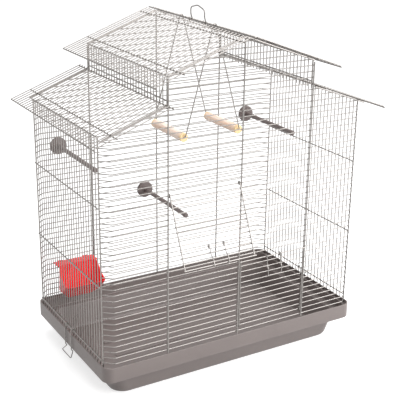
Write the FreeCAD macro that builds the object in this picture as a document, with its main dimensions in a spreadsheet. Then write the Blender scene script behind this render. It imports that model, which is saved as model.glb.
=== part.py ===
import FreeCAD, Part
import math
import os

from FreeCAD import Placement, Rotation, Vector

# Bird cage: a stepped plastic tray, welded wire panels with wrapped corners, a raised middle
# bay, overhanging wire roofs, two wire doors, perches, a double swing and a scoop feeder.
# Millimetres. X is the cage's width, the front is -Y, Z is up, and z = 0 is under the tray.

doc = FreeCAD.newDocument("bird_cage")
os.makedirs("parts", exist_ok=True)

# Driving dimensions
SIZES = [
    ("cage_width", 590), ("cage_depth", 347), ("tower_width", 325), ("wire_foot", 75),
    ("wire_pitch", 12), ("fine_wire", 2), ("upright_wire", 3), ("cross_wire", 2.5),
    ("rail_wire", 2.9), ("corner_radius", 14), ("wrap_tail", 1.5), ("upright_foot", 81),
    ("side_top", 539.5), ("side_cross_low", 92), ("side_cross_second", 245),
    ("side_cross_third", 404), ("tower_top", 639), ("tower_cross_low", 594),
    ("tower_foot", 581), ("wall_end_gap", 1.2),
    ("roof_angle", 20), ("roof_depth", 418), ("low_eave_reach", 325), ("low_eave_height", 532),
    ("low_top_reach", 167), ("upper_eave_reach", 205.5), ("upper_eave_height", 627),
    ("upper_top_reach", 7), ("locating_inset", 15), ("eave_inset", 2), ("top_inset_low", 2),
    ("top_inset_upper", 15), ("ridge_wire", 3),
    ("rim_length", 600), ("rim_depth", 357), ("rim_radius", 20), ("rim_top", 80),
    ("rim_foot", 48), ("seat_top", 74), ("tray_wall", 2.5), ("pan_top_length", 560),
    ("pan_top_depth", 322), ("pan_foot_length", 532), ("pan_foot_depth", 298),
    ("pan_radius", 30), ("pan_edge_radius", 9), ("pan_wall", 3), ("step_top", 55),
    ("seat_width", 6.5), ("fold_gap", 4), ("floor_rib_length", 400), ("floor_rib_width", 9),
    ("floor_rib_height", 1.5), ("floor_rib_back", 50), ("floor_rib_front", -11),
    ("door_open_angle", 24.3), ("door_height", 144), ("left_hinge_height", 411),
    ("right_hinge_height", 99), ("door_side_wire", 2.6), ("door_edge_wire", 2.4),
    ("door_eye_radius", 3), ("door_gap", 0.5), ("door_side_inset", 1.7), ("door_edge_gap", 0.4),
    ("latch_wire", 2), ("latch_eye_radius", 3), ("latch_half_width", 16.5),
    ("latch_straight", 18), ("latch_jog_drop", 25), ("latch_jog", 5), ("latch_length", 40),
    ("left_latch_rise", 36),
    ("clip_wire", 2), ("clip_eye_radius", 3.2), ("clip_half_width", 15), ("clip_loop_half", 23),
    ("clip_reach", 5.25), ("clip_shoulder", 11), ("clip_straight", 45), ("clip_hook_in", 1.6),
    ("clip_hook_drop", 48.5), ("clip_loop_reach", 10), ("clip_loop_drop", 60),
    ("handle_wire", 2.5), ("handle_eye_radius", 3.8), ("handle_half_width", 27),
    ("handle_neck", 10), ("handle_shoulder", 24), ("handle_height", 31),
    ("swing_wire", 2.4), ("swing_saddle_radius", 3.8), ("swing_half_depth", 66),
    ("swing_half_width", 64), ("swing_height", 482), ("dowel_diameter", 16),
    ("dowel_length", 124), ("dowel_bore", 3), ("dowel_bore_depth", 14), ("stub_depth", 12),
    ("perch_disc", 42), ("perch_disc_depth", 8), ("perch_rod", 9.4), ("perch_tip", 10.6),
    ("perch_left_x", -239.4), ("perch_left_height", 423.5), ("perch_middle_x", -34.7),
    ("perch_middle_height", 294.8), ("perch_right_x", 233.3), ("perch_right_height", 438.9),
    ("perch_reach", 195), ("perch_stud", 7), ("perch_stud_length", 12), ("nut_diameter", 24),
    ("nut_depth", 6), ("nut_bore", 7.4), ("nut_sides", 12),
    ("feeder_centre", -214), ("feeder_foot", 87), ("feeder_chamfer", 107), ("feeder_lip", 128),
    ("feeder_top", 163), ("feeder_width", 94), ("feeder_foot_width", 60),
    ("feeder_foot_depth", 12), ("feeder_lip_depth", 50), ("feeder_wall", 2.2),
    ("feeder_gap", 24), ("scoop_radius", 62), ("scoop_forward", 58.5), ("scoop_height", 189.3),
    ("feeder_hook_width", 12), ("feeder_hook_spread", 30), ("feeder_hook_drop", 14),
    ("feeder_hook_lift", 0.2), ("feeder_hook_reach", 0.4),
]

sheet = doc.addObject("Spreadsheet::Sheet", "sizes")
for row, (alias, value) in enumerate(SIZES, start=1):
    sheet.set(f"A{row}", alias)
    sheet.set(f"B{row}", str(value))
    sheet.setAlias(f"B{row}", alias)
doc.recompute()


def dim(alias):
    return float(sheet.get(alias))


half_width = dim("cage_width") / 2
half_depth = dim("cage_depth") / 2
half_tower = dim("tower_width") / 2
pitch = dim("wire_pitch")
fine = dim("fine_wire")
upright = dim("upright_wire")
cross = dim("cross_wire")
rail = dim("rail_wire")
slope = math.tan(math.radians(dim("roof_angle")))
tilt = math.cos(math.radians(dim("roof_angle")))
EDGE_SIDES = 8
THICK_SIDES = 6
FINE_SIDES = 4
ALONG_X, ALONG_Y, ALONG_Z = Vector(1, 0, 0), Vector(0, 1, 0), Vector(0, 0, 1)


def level(number):
    """Height of a horizontal wire, counted up from the lowest one."""
    return dim("wire_foot") + number * pitch


def wires_up_to(height):
    """Whole wire gaps from the lowest horizontal wire up to a height."""
    return math.floor((height - dim("wire_foot")) / pitch)


# Wires: a polygon carried along a bent line, mitred at each bend, with flat faces only
def wire(points, diameter, sides, facing):
    points = [Vector(*point) for point in points]
    runs = [(b - a).normalize() for a, b in zip(points, points[1:])]
    first = runs[0]
    across = (facing - first * facing.dot(first)).normalize()
    side = first.cross(across)
    corner = diameter / 2 / math.cos(math.pi / sides)
    angles = [(turn + 0.5) * 2 * math.pi / sides for turn in range(sides)]
    ring = [points[0] + across * corner * math.cos(a) + side * corner * math.sin(a) for a in angles]
    rings = [ring]
    for index in range(1, len(points)):
        along = runs[index - 1]
        bend = (along + runs[index]).normalize() if index < len(runs) else along
        ring = [p + along * ((points[index] - p).dot(bend) / along.dot(bend)) for p in ring]
        rings.append(ring)
    faces = [Part.Face(Part.makePolygon(end + end[:1])) for end in (rings[0], rings[-1])]
    for low, high in zip(rings, rings[1:]):
        for turn in range(sides):
            after = (turn + 1) % sides
            corners = [low[turn], low[after], high[after], high[turn], low[turn]]
            faces.append(Part.Face(Part.makePolygon(corners)))
    solid = Part.Solid(Part.Shell(faces))
    return solid if solid.Volume > 0 else solid.reversed()


def wire_node(label, solids, placement=None):
    """A sub-part of welded wires: separate solids that touch."""
    node = doc.addObject("Part::Feature", label)
    node.Label = label
    node.Shape = Part.makeCompound(solids)
    node.Placement = placement or Placement()
    return node


def rows(reach):
    """Evenly pitched places, one of them at zero, out to a reach on both sides."""
    count = math.floor(reach / pitch)
    return [index * pitch for index in range(-count, count + 1)]


# Roof planes: the height of the fine wires' centres, and the layers under them
def roof_height(reach, eave_reach, eave_height, layer=0.0):
    return eave_height + (eave_reach - abs(reach)) * slope - layer / tilt


LOW = (dim("low_eave_reach"), dim("low_eave_height"))
UPPER = (dim("upper_eave_reach"), dim("upper_eave_height"))
CROSS_LAYER = fine / 2 + cross / 2
RAIL_LAYER = CROSS_LAYER + cross / 2 + rail / 2


def rail_reach(height, roof):
    """How far out a gable rail is at a height."""
    eave_reach, eave_height = roof
    return eave_reach - (height + RAIL_LAYER / tilt - eave_height) / slope


# Front and back panels: wrapped horizontal wires, outside uprights and gable rails
def wrapped_end(side, front, height):
    """A wire's end, from the side panel's edge upright round the corner."""
    radius = dim("corner_radius")
    centre = (side * (half_width - radius), front * (half_depth - radius))
    bend_shares = (0.0, 0.5, 1.0)
    places = [(side * half_width, centre[1] - front * dim("wrap_tail"), height)]
    for share in bend_shares:
        angle = share * math.pi / 2
        x = centre[0] + side * radius * math.cos(angle)
        y = centre[1] + front * radius * math.sin(angle)
        places.append((x, y, height))
    return places


def panel_wires(front, bays):
    """Horizontal wires; bays gives the open door bays as (low level, high level, x from, x to)."""
    y = front * half_depth
    solids = []
    wrapped_levels = wires_up_to(dim("side_top")) + 1
    for number in range(wrapped_levels):
        height = level(number)
        left = wrapped_end(-1, front, height)
        right = wrapped_end(1, front, height)[::-1]
        runs = [left + right]
        for low, high, x_from, x_to in bays:
            if low <= number <= high:
                runs = [left + [(x_from, y, height)], [(x_to, y, height)] + right]
        solids += [wire(run, fine, FINE_SIDES, ALONG_Z) for run in runs]
    number = wrapped_levels
    ridge_height = roof_height(0, *UPPER, RAIL_LAYER)
    while level(number) < ridge_height - fine:
        height = level(number)
        reach = min(half_tower, rail_reach(height, UPPER))
        reach = max(reach, rail_reach(height, LOW)) if height < level(number_at_tower()) else reach
        ends = [(-reach, y, height), (reach, y, height)]
        solids.append(wire(ends, fine, FINE_SIDES, ALONG_Z))
        number += 1
    return solids


def number_at_tower():
    """The first level above the low gable rails."""
    top = roof_height(half_tower, *LOW, RAIL_LAYER)
    return math.ceil((top - dim("wire_foot")) / pitch)


def panel_frame(front):
    """Uprights and gable rails, on the outside of the horizontal wires."""
    y = front * (half_depth + fine / 2 + upright / 2)
    rail_y = front * (half_depth + fine / 2 + rail / 2)
    foot = dim("upright_foot")
    tower_end = roof_height(half_tower + upright / 2, *UPPER, RAIL_LAYER + rail)
    middle_end = roof_height(0, *UPPER, RAIL_LAYER + rail)
    solids = []
    for x, top in ((-half_tower, tower_end), (0, middle_end), (half_tower, tower_end)):
        solids.append(wire([(x, y, foot), (x, y, top)], upright, THICK_SIDES, ALONG_Y))
    for side in (-1, 1):
        ends = (half_width, half_tower + upright / 2 + rail / 2)
        line = [(side * x, rail_y, roof_height(x, *LOW, RAIL_LAYER)) for x in ends]
        solids.append(wire(line, rail, THICK_SIDES, ALONG_Y))
    gable = [(x, rail_y, roof_height(x, *UPPER, RAIL_LAYER)) for x in (-half_tower, 0, half_tower)]
    solids.append(wire(gable, rail, THICK_SIDES, ALONG_Y))
    return solids


weld_share = 0.3
weld = upright * weld_share
door_levels = round(dim("door_height") / pitch)
left_hinge_level = round((dim("left_hinge_height") - dim("wire_foot")) / pitch)
right_hinge_level = round((dim("right_hinge_height") - dim("wire_foot")) / pitch)
front_bays = [
    (left_hinge_level - door_levels, left_hinge_level - 1, -half_tower + weld, -weld),
    (right_hinge_level + 1, right_hinge_level + door_levels, weld, half_tower - weld),
]
wire_node("front_panel", panel_wires(-1, front_bays) + panel_frame(-1))
wire_node("back_panel", panel_wires(1, []) + panel_frame(1))


# Side walls: vertical fine wires, edge uprights and outside cross wires
def wall(x_centre, side, edge_y, edge_x, foot, top, cross_heights):
    solids = []
    end = top + cross / 2 - dim("wall_end_gap") / 2
    for y in rows(edge_y - pitch / 2):
        line = [(side * x_centre, y, foot), (side * x_centre, y, end)]
        solids.append(wire(line, fine, FINE_SIDES, ALONG_X))
    for y in (-edge_y, edge_y):
        line = [(side * edge_x, y, foot), (side * edge_x, y, end)]
        solids.append(wire(line, upright, EDGE_SIDES, ALONG_X))
    x = side * (x_centre + fine / 2 + cross / 2)
    for height in cross_heights:
        line = [(x, -edge_y, height), (x, edge_y, height)]
        solids.append(wire(line, cross, THICK_SIDES, ALONG_X))
    return solids


side_edge_y = half_depth - dim("corner_radius") - dim("wrap_tail") - upright / 2
side_edge_x = half_width + fine / 2 - upright / 2
side_levels = [dim("side_cross_low"), dim("side_cross_second"), dim("side_cross_third")]
tower_edge_y = half_depth - fine / 2 - upright / 2
for name, side in (("left", -1), ("right", 1)):
    wire_node(f"{name}_side_panel", wall(
        half_width, side, side_edge_y, side_edge_x,
        dim("seat_top"), dim("side_top"), side_levels + [dim("side_top")]))
    wire_node(f"tower_{name}_panel", wall(
        half_tower, side, tower_edge_y, half_tower + fine / 2 - upright / 2,
        dim("tower_foot"), dim("tower_top"), [dim("tower_cross_low"), dim("tower_top")]))


# Roofs: fine wires down the slope, on cross wires that lie on the gable rails
def roof(side, plane, top_reach, top_inset, wall_reach):
    eave_reach = plane[0]
    normal = Vector(side * math.sin(math.radians(dim("roof_angle"))), 0, tilt)
    solids = []
    for y in rows(dim("roof_depth") / 2):
        line = [(side * x, y, roof_height(x, *plane)) for x in (top_reach, eave_reach)]
        solids.append(wire(line, fine, FINE_SIDES, normal))
    half = dim("roof_depth") / 2
    reaches = (top_reach + top_inset, wall_reach - dim("locating_inset"), eave_reach - dim("eave_inset"))
    for reach in reaches:
        height = roof_height(reach, *plane, CROSS_LAYER)
        x = side * reach
        solids.append(wire([(x, -half, height), (x, half, height)], cross, THICK_SIDES, normal))
    return solids


for name, side in (("left", -1), ("right", 1)):
    wire_node(f"roof_low_{name}", roof(
        side, LOW, dim("low_top_reach"), dim("top_inset_low"), half_width))
    wire_node(f"roof_upper_{name}", roof(
        side, UPPER, dim("upper_top_reach"), dim("top_inset_upper"), half_tower))

ridge_height = roof_height(0, *UPPER, RAIL_LAYER - rail / 2) + dim("ridge_wire") / 2
ridge_line = [(0, -dim("roof_depth") / 2, ridge_height), (0, dim("roof_depth") / 2, ridge_height)]
wire_node("ridge_rail", [wire(ridge_line, dim("ridge_wire"), THICK_SIDES, ALONG_Z)])


# Bails: one wire with an eye at each end, turned round a hinge line along X at the origin
def eye(radius, across, up_sign=1):
    """A nearly closed turn that ends on the outer side, heading down (or up)."""
    first_angle, last_angle, turns = -100, 180, 7
    places = []
    for turn in range(turns + 1):
        angle = math.radians(first_angle + (last_angle - first_angle) * turn / turns)
        places.append((across, radius * math.cos(angle), up_sign * radius * math.sin(angle)))
    return places


def bail(radius, diameter, half_span, outline):
    """outline holds (outward, drop, half width) points below the eyes; the last pair is joined."""
    left = eye(radius, -half_span) + [(-half, -out, -drop) for out, drop, half in outline]
    right = eye(radius, half_span) + [(half, -out, -drop) for out, drop, half in outline]
    return wire(left + right[::-1], diameter, THICK_SIDES, ALONG_X)


# Doors: leaf wires between two side wires whose eyes turn on a wire of the front panel
def door_leaf(direction):
    radius = dim("door_eye_radius")
    side_wire, edge_wire = dim("door_side_wire"), dim("door_edge_wire")
    half = half_tower / 2 - upright / 2 - dim("door_gap")
    leaf_y = -(radius - side_wire / 2 - fine / 2)
    edge_y = -(radius + side_wire / 2 + edge_wire / 2)
    length = door_levels * pitch
    solids = []
    for number in range(1, door_levels):
        height = direction * number * pitch
        line = [(-half, leaf_y, height), (half, leaf_y, height)]
        solids.append(wire(line, fine, FINE_SIDES, ALONG_Z))
    side_x = half - dim("door_side_inset")
    end = (length + edge_wire / 2) * direction
    for x in (-side_x, side_x):
        line = eye(radius, x, -direction) + [(x, -radius, end)]
        solids.append(wire(line, side_wire, THICK_SIDES, ALONG_X))
    reach = half_tower / 2 - dim("door_edge_gap")
    line = [(-reach, edge_y, direction * length), (reach, edge_y, direction * length)]
    solids.append(wire(line, edge_wire, THICK_SIDES, ALONG_Y))
    return solids


door_places = {
    "left": Placement(
        Vector(-half_tower / 2, -half_depth, level(left_hinge_level)),
        Rotation(ALONG_X, -dim("door_open_angle"))),
    "right": Placement(
        Vector(half_tower / 2, -half_depth, level(right_hinge_level)), Rotation()),
}
wire_node("left_door", door_leaf(-1), door_places["left"])
wire_node("right_door", door_leaf(1), door_places["right"])

latch_half = dim("latch_half_width")
latch_outline = [
    (dim("latch_eye_radius"), dim("latch_straight"), latch_half),
    (dim("latch_eye_radius") + dim("latch_jog"), dim("latch_jog_drop"), latch_half),
    (dim("latch_eye_radius") + dim("latch_jog"), dim("latch_length"), latch_half),
]
leaf_depth = dim("door_eye_radius") - dim("door_side_wire") / 2 - fine / 2
edge_depth = dim("door_eye_radius") + dim("door_side_wire") / 2 + dim("door_edge_wire") / 2
left_latch_level = door_levels - round(dim("left_latch_rise") / pitch)
latch_places = {
    "left": Vector(0, -leaf_depth, -left_latch_level * pitch),
    "right": Vector(0, -edge_depth, door_levels * pitch),
}
for name, place in latch_places.items():
    shape = bail(dim("latch_eye_radius"), dim("latch_wire"), latch_half, latch_outline)
    wire_node(f"{name}_latch", [shape], door_places[name].multiply(Placement(place, Rotation())))

# Tray clips: bails on the side walls' lowest cross wires that hook under the rim
clip_half = dim("clip_half_width")
clip_outline = [
    (dim("clip_reach"), dim("clip_shoulder"), clip_half),
    (dim("clip_reach"), dim("clip_straight"), clip_half),
    (dim("clip_hook_in"), dim("clip_hook_drop"), clip_half),
    (dim("clip_loop_reach"), dim("clip_loop_drop"), dim("clip_loop_half")),
]
QUARTER_TURN = 90
clip_x = half_width + fine / 2 + cross / 2
for name, side in (("left", -1), ("right", 1)):
    shape = bail(dim("clip_eye_radius"), dim("clip_wire"), clip_half, clip_outline)
    place = Placement(
        Vector(side * clip_x, 0, dim("side_cross_low")), Rotation(ALONG_Z, side * QUARTER_TURN))
    wire_node(f"{name}_clip", [shape], place)


# Carrying handle: a pointed arch on two eyes round the ridge rail
def handle_leg(y):
    radius = dim("handle_eye_radius")
    first_angle, last_angle, turns = -260, 0, 7
    places = []
    for turn in range(turns + 1):
        angle = math.radians(first_angle + (last_angle - first_angle) * turn / turns)
        places.append((radius * math.cos(angle), y, radius * math.sin(angle)))
    return places + [(0, y, dim("handle_neck")), (0, y, dim("handle_shoulder"))]


handle_half = dim("handle_half_width")
handle_path = handle_leg(-handle_half) + [(0, 0, dim("handle_height"))]
handle_path += handle_leg(handle_half)[::-1]
handle_shape = wire(handle_path, dim("handle_wire"), THICK_SIDES, ALONG_Y)
wire_node("carry_handle", [handle_shape], Placement(Vector(0, 0, ridge_height), Rotation()))


# Swing: two hangers saddled on the ridge rail, with their ends turned into two dowels
def hanger(inward):
    """A hanger in the ridge rail's frame; inward is the way its ends turn along Y."""
    radius = dim("swing_saddle_radius")
    drop = ridge_height - dim("swing_height")
    reach = dim("swing_half_width")
    lean = math.atan2(reach, drop) - math.asin(radius / math.hypot(reach, drop))
    last_degrees, turns = 180, 4
    start = -lean
    span = math.radians(last_degrees) + 2 * lean
    saddle = []
    for turn in range(turns + 1):
        angle = start + span * turn / turns
        saddle.append((radius * math.cos(angle), 0, radius * math.sin(angle)))
    tip = inward * (dim("swing_half_depth") - dim("dowel_length") / 2 + dim("stub_depth"))
    right = [(reach, tip, -drop), (reach, 0, -drop)]
    left = [(-reach, 0, -drop), (-reach, tip, -drop)]
    return wire(right + saddle + left, dim("swing_wire"), THICK_SIDES, ALONG_X)


for name, front in (("front", -1), ("back", 1)):
    place = Placement(Vector(0, front * dim("swing_half_depth"), ridge_height), Rotation())
    wire_node(f"swing_hanger_{name}", [hanger(-front)], place)


# Part primitives, bound to the sheet
def primitive(kind, name, **expressions):
    item = doc.addObject(kind, name)
    for key, expression in expressions.items():
        item.setExpression(key.replace("_at_", "."), expression)
    return item


def joined(kind, name, label, members):
    item = doc.addObject(kind, name)
    item.Label = label
    if kind == "Part::Cut":
        item.Base, item.Tool = members
    else:
        item.Shapes = members
    return item


def place_along_y(item, x, y, z):
    """Turns a primitive's own Z to -Y (towards the front) and puts its foot at a place."""
    item.Placement = Placement(Vector(x, y, z), Rotation(ALONG_X, QUARTER_TURN))


for name, side in (("left", -1), ("right", 1)):
    rod = primitive("Part::Cylinder", f"{name}_rod", Radius="sizes.dowel_diameter / 2",
                    Height="sizes.dowel_length")
    bores = []
    for end in (-1, 1):
        bore = primitive("Part::Cylinder", f"{name}_bore", Radius="sizes.dowel_bore / 2",
                         Height="sizes.dowel_bore_depth")
        mouth = end * dim("dowel_length") / 2
        foot = mouth if end > 0 else mouth + dim("dowel_bore_depth")
        place_along_y(bore, side * dim("swing_half_width"), foot, dim("swing_height"))
        bores.append(bore)
    place_along_y(rod, side * dim("swing_half_width"), dim("dowel_length") / 2, dim("swing_height"))
    both = joined("Part::MultiFuse", f"{name}_bores", f"{name}_bores", bores)
    joined("Part::Cut", f"dowel_{name}", f"swing_dowel_{name}", (rod, both))

# Perches: a disc inside the back wires, a rod with a round tip, and a stud with its nut outside
inner_face = half_depth - fine / 2
outer_face = half_depth + fine / 2
for name in ("left", "middle", "right"):
    x = dim(f"perch_{name}_x")
    z = level(wires_up_to(dim(f"perch_{name}_height"))) + pitch / 2
    disc = primitive("Part::Cylinder", f"{name}_disc", Radius="sizes.perch_disc / 2",
                     Height="sizes.perch_disc_depth")
    rod = primitive("Part::Cylinder", f"{name}_perch_rod", Radius="sizes.perch_rod / 2",
                    Height="sizes.perch_reach - sizes.perch_tip / 2")
    tip = primitive("Part::Sphere", f"{name}_tip", Radius="sizes.perch_tip / 2")
    stud = primitive("Part::Cylinder", f"{name}_stud", Radius="sizes.perch_stud / 2",
                     Height="sizes.perch_stud_length")
    place_along_y(disc, x, inner_face, z)
    place_along_y(rod, x, inner_face, z)
    place_along_y(tip, x, inner_face - dim("perch_reach") + dim("perch_tip") / 2, z)
    place_along_y(stud, x, inner_face + dim("perch_stud_length"), z)
    joined("Part::MultiFuse", f"{name}_perch_fuse", f"perch_{name}", [disc, rod, tip, stud])
    nut = primitive("Part::Prism", f"{name}_nut_body", Circumradius="sizes.nut_diameter / 2",
                    Height="sizes.nut_depth", Polygon="sizes.nut_sides")
    bore = primitive("Part::Prism", f"{name}_nut_bore", Circumradius="sizes.nut_bore / 2",
                     Height="sizes.nut_depth", Polygon="sizes.nut_sides")
    for item in (nut, bore):
        place_along_y(item, x, outer_face + dim("nut_depth"), z)
    joined("Part::Cut", f"{name}_nut", f"perch_nut_{name}", (nut, bore))


# Boxes and tapered blocks, centred in X
def block(name, length, depth, height, x, y, z):
    """A box whose middle is at x, y and whose foot is at z; all are sheet expressions."""
    return primitive(
        "Part::Box", name, Length=length, Width=depth, Height=height,
        Placement_at_Base_at_x=f"{x} - ({length}) / 2",
        Placement_at_Base_at_y=f"{y} - ({depth}) / 2", Placement_at_Base_at_z=z)


def taper(name, foot, top, low, high):
    """A block that widens from its foot (length, depth) to its top between two heights."""
    item = primitive(
        "Part::Wedge", name, Ymin=low, Ymax=high,
        Xmin=f"-({foot[0]}) / 2", Xmax=f"({foot[0]}) / 2",
        Zmin=f"-({foot[1]}) / 2", Zmax=f"({foot[1]}) / 2",
        X2min=f"-({top[0]}) / 2", X2max=f"({top[0]}) / 2",
        Z2min=f"-({top[1]}) / 2", Z2max=f"({top[1]}) / 2")
    item.Placement = Placement(Vector(), Rotation(ALONG_X, QUARTER_TURN))
    return item


def rounded(item, name, alias, wanted):
    """Part::Fillet on the edges that the test picks."""
    doc.recompute()
    radius = dim(alias)
    picked = [number for number, edge in enumerate(item.Shape.Edges, start=1) if wanted(edge)]
    fillet = doc.addObject("Part::Fillet", name)
    fillet.Base = item
    fillet.Edges = [(number, radius, radius) for number in picked]
    doc.recompute()
    return fillet


def is_upright(edge):
    low, high = edge.BoundBox.ZMin, edge.BoundBox.ZMax
    return high - low > dim("tray_wall")


def is_foot(edge):
    return edge.BoundBox.ZMax < dim("tray_wall")


# Tray: a folded rim with a seat for the wires, a step inside it and a tapered pan below
def rim_block(name, inset, low, high):
    """A rounded block as large as the rim, less an inset all round, between two heights."""
    return rounded(
        block(f"{name}_block", f"sizes.rim_length - 2 * ({inset})", f"sizes.rim_depth - 2 * ({inset})",
              f"{high} - ({low})", "0", "0", low), name, "rim_radius", is_upright)


def pan_block(name, inset, low, high):
    """The tapered pan, less an inset all round, between two heights."""
    return rounded(
        taper(f"{name}_block",
              (f"sizes.pan_foot_length - 2 * {inset}", f"sizes.pan_foot_depth - 2 * {inset}"),
              (f"sizes.pan_top_length - 2 * {inset}", f"sizes.pan_top_depth - 2 * {inset}"), low, high),
        name, "pan_radius", is_upright)


rim = rim_block("rim", "0", "sizes.rim_foot", "sizes.rim_top")
step_foot = "sizes.step_top - sizes.pan_wall"
under_step = rim_block("under_step", "sizes.tray_wall", "0", step_foot)
fold_outer = rim_block("fold_outer", "sizes.tray_wall", "0", "sizes.seat_top - sizes.pan_wall")
fold_inner = rim_block("fold_inner", "sizes.tray_wall + sizes.fold_gap", "0", "sizes.seat_top")
fold = joined("Part::Cut", "fold", "fold", (fold_outer, fold_inner))
rim_hollows = joined("Part::MultiFuse", "rim_hollows", "rim_hollows", [under_step, fold])
folded_rim = joined("Part::Cut", "folded_rim", "folded_rim", (rim, rim_hollows))
pan = rounded(pan_block("pan", "0", "0", "sizes.step_top"), "pan_edge", "pan_edge_radius", is_foot)
outside = joined("Part::MultiFuse", "tray_outside", "tray_outside", [folded_rim, pan])
above_rim = "sizes.rim_top + sizes.tray_wall"
recess = rim_block("recess", "sizes.tray_wall", "sizes.seat_top", above_rim)
well = rim_block("well", "sizes.tray_wall + sizes.seat_width", "sizes.step_top", above_rim)
hollow = pan_block("hollow", "sizes.pan_wall", "sizes.pan_wall", "sizes.step_top + sizes.tray_wall")
inside = joined("Part::MultiFuse", "tray_inside", "tray_inside", [recess, well, hollow])
shell = joined("Part::Cut", "tray_shell", "tray_shell", (outside, inside))
ribs = [
    block(f"rib_{place}", "sizes.floor_rib_length", "sizes.floor_rib_width",
          "sizes.floor_rib_height + sizes.pan_wall / 2", "0", f"sizes.floor_rib_{place}",
          "sizes.pan_wall / 2")
    for place in ("back", "front")
]
joined("Part::MultiFuse", "tray_whole", "tray", [shell] + ribs)

# Feeder: a scoop with a concave mouth, hung on the back wires by a flange and two hooks
feeder_back = inner_face - dim("feeder_gap")


def scoop_block(name, foot_width, top_width, low, high, wall):
    """A stretch of the scoop between two heights; its front wall leans out at the same slope."""
    inset = "sizes.feeder_wall" if wall else "0"
    lean = "(sizes.feeder_lip_depth - sizes.feeder_foot_depth) / (sizes.feeder_lip - sizes.feeder_foot)"
    depth = "sizes.feeder_foot_depth + {lean} * ({height} - sizes.feeder_foot) - {inset}"
    item = primitive(
        "Part::Wedge", name, Ymin=low, Ymax=high, Zmin=inset, Z2min=inset,
        Zmax=depth.format(lean=lean, height=low, inset=inset),
        Z2max=depth.format(lean=lean, height=high, inset=inset),
        Xmin=f"-{foot_width} / 2 + {inset}", Xmax=f"{foot_width} / 2 - {inset}",
        X2min=f"-{top_width} / 2 + {inset}", X2max=f"{top_width} / 2 - {inset}")
    place_along_y(item, dim("feeder_centre"), feeder_back, 0)
    return item


def scoop(name, wall):
    """The chamfered foot and the straight upper stretch, as one solid."""
    foot = "sizes.feeder_foot + sizes.feeder_wall" if wall else "sizes.feeder_foot"
    top = "sizes.feeder_top + sizes.feeder_wall" if wall else "sizes.feeder_top"
    low = scoop_block(f"{name}_low", "sizes.feeder_foot_width", "sizes.feeder_width",
                      foot, "sizes.feeder_chamfer", wall)
    high = scoop_block(f"{name}_high", "sizes.feeder_width", "sizes.feeder_width",
                       "sizes.feeder_chamfer", top, wall)
    return joined("Part::MultiFuse", name, name, [low, high])


mouth = primitive("Part::Cylinder", "mouth", Radius="sizes.scoop_radius",
                  Height="2 * sizes.feeder_width")
mouth.Placement = Placement(
    Vector(dim("feeder_centre") - dim("feeder_width"), feeder_back - dim("scoop_forward"),
           dim("scoop_height")), Rotation(ALONG_Y, QUARTER_TURN))
inner = joined("Part::MultiFuse", "scoop_inner", "scoop_inner", [scoop("scoop_hollow", 1), mouth])
scoop_shell = joined("Part::Cut", "scoop_shell", "scoop_shell", (scoop("scoop_outer", 0), inner))
hook_lift = fine / 2 + dim("feeder_hook_lift")
hook_wire = level(wires_up_to(dim("feeder_top") - dim("feeder_wall") - hook_lift)) + hook_lift
hook_back = outer_face + dim("feeder_hook_reach")


def feeder_strip(name, x, width, y_from, y_to, drop):
    """A flat strip of the hanger, between two places in Y, as deep as drop under its top."""
    item = primitive("Part::Box", name, Length=width, Height=drop)
    item.Width = y_to - y_from
    item.setExpression("Placement.Base.x", f"{x} - {width} / 2")
    item.Placement.Base.y = y_from
    item.Placement.Base.z = hook_wire + dim("feeder_wall") - item.Height.Value
    return item


hanger_strips = [feeder_strip(
    "flange", "sizes.feeder_centre", "sizes.feeder_width", feeder_back - dim("feeder_wall") / 2,
    inner_face, "sizes.feeder_wall")]
for name, side in (("left", "-1"), ("right", "1")):
    x = f"sizes.feeder_centre + {side} * sizes.feeder_hook_spread"
    hanger_strips.append(feeder_strip(
        f"strap_{name}", x, "sizes.feeder_hook_width", inner_face - dim("feeder_wall"),
        hook_back + dim("feeder_wall"), "sizes.feeder_wall"))
    hanger_strips.append(feeder_strip(
        f"lip_{name}", x, "sizes.feeder_hook_width", hook_back,
        hook_back + dim("feeder_wall"), "sizes.feeder_hook_drop"))
doc.recompute()
for strip in hanger_strips:
    strip.Placement.Base.z = hook_wire + dim("feeder_wall") - strip.Height.Value
joined("Part::MultiFuse", "feeder_whole", "feeder", [scoop_shell] + hanger_strips)

# Every sub-part, checked and written to its own file
NODES = [
    "tray", "front_panel", "back_panel", "left_side_panel", "right_side_panel",
    "tower_left_panel", "tower_right_panel", "roof_low_left", "roof_low_right",
    "roof_upper_left", "roof_upper_right", "ridge_rail", "left_door", "right_door",
    "left_latch", "right_latch", "left_clip", "right_clip", "carry_handle",
    "swing_hanger_front", "swing_hanger_back", "swing_dowel_left", "swing_dowel_right",
    "perch_left", "perch_middle", "perch_right", "perch_nut_left", "perch_nut_middle",
    "perch_nut_right", "feeder",
]
doc.recompute()
for item in doc.Objects:
    if "Invalid" in item.State or "Error" in item.State:
        raise RuntimeError(f"{item.Label} did not build: {item.State}")
for label in NODES:
    item = doc.getObjectsByLabel(label)[0]
    if item.Shape.isNull() or not item.Shape.isValid():
        raise RuntimeError(f"{label} has no valid shape")
    item.Shape.exportStep(f"parts/{label}.step")
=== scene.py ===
# %% [markdown]
# # A wire bird cage on a plastic tray
#
# A cage for small birds is made from drawn steel wire, bent and spot welded into flat panels, and
# a moulded tray that carries them. This lesson dresses the CAD frame of such a cage: every wire is
# drawn again as a round, smoothly bent bar, and every moulding gets its rounded edges. The frame
# is loaded first.

# %% Load the frame
import math

import bpy
import numpy as np
from mathutils import Matrix, Vector


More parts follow.
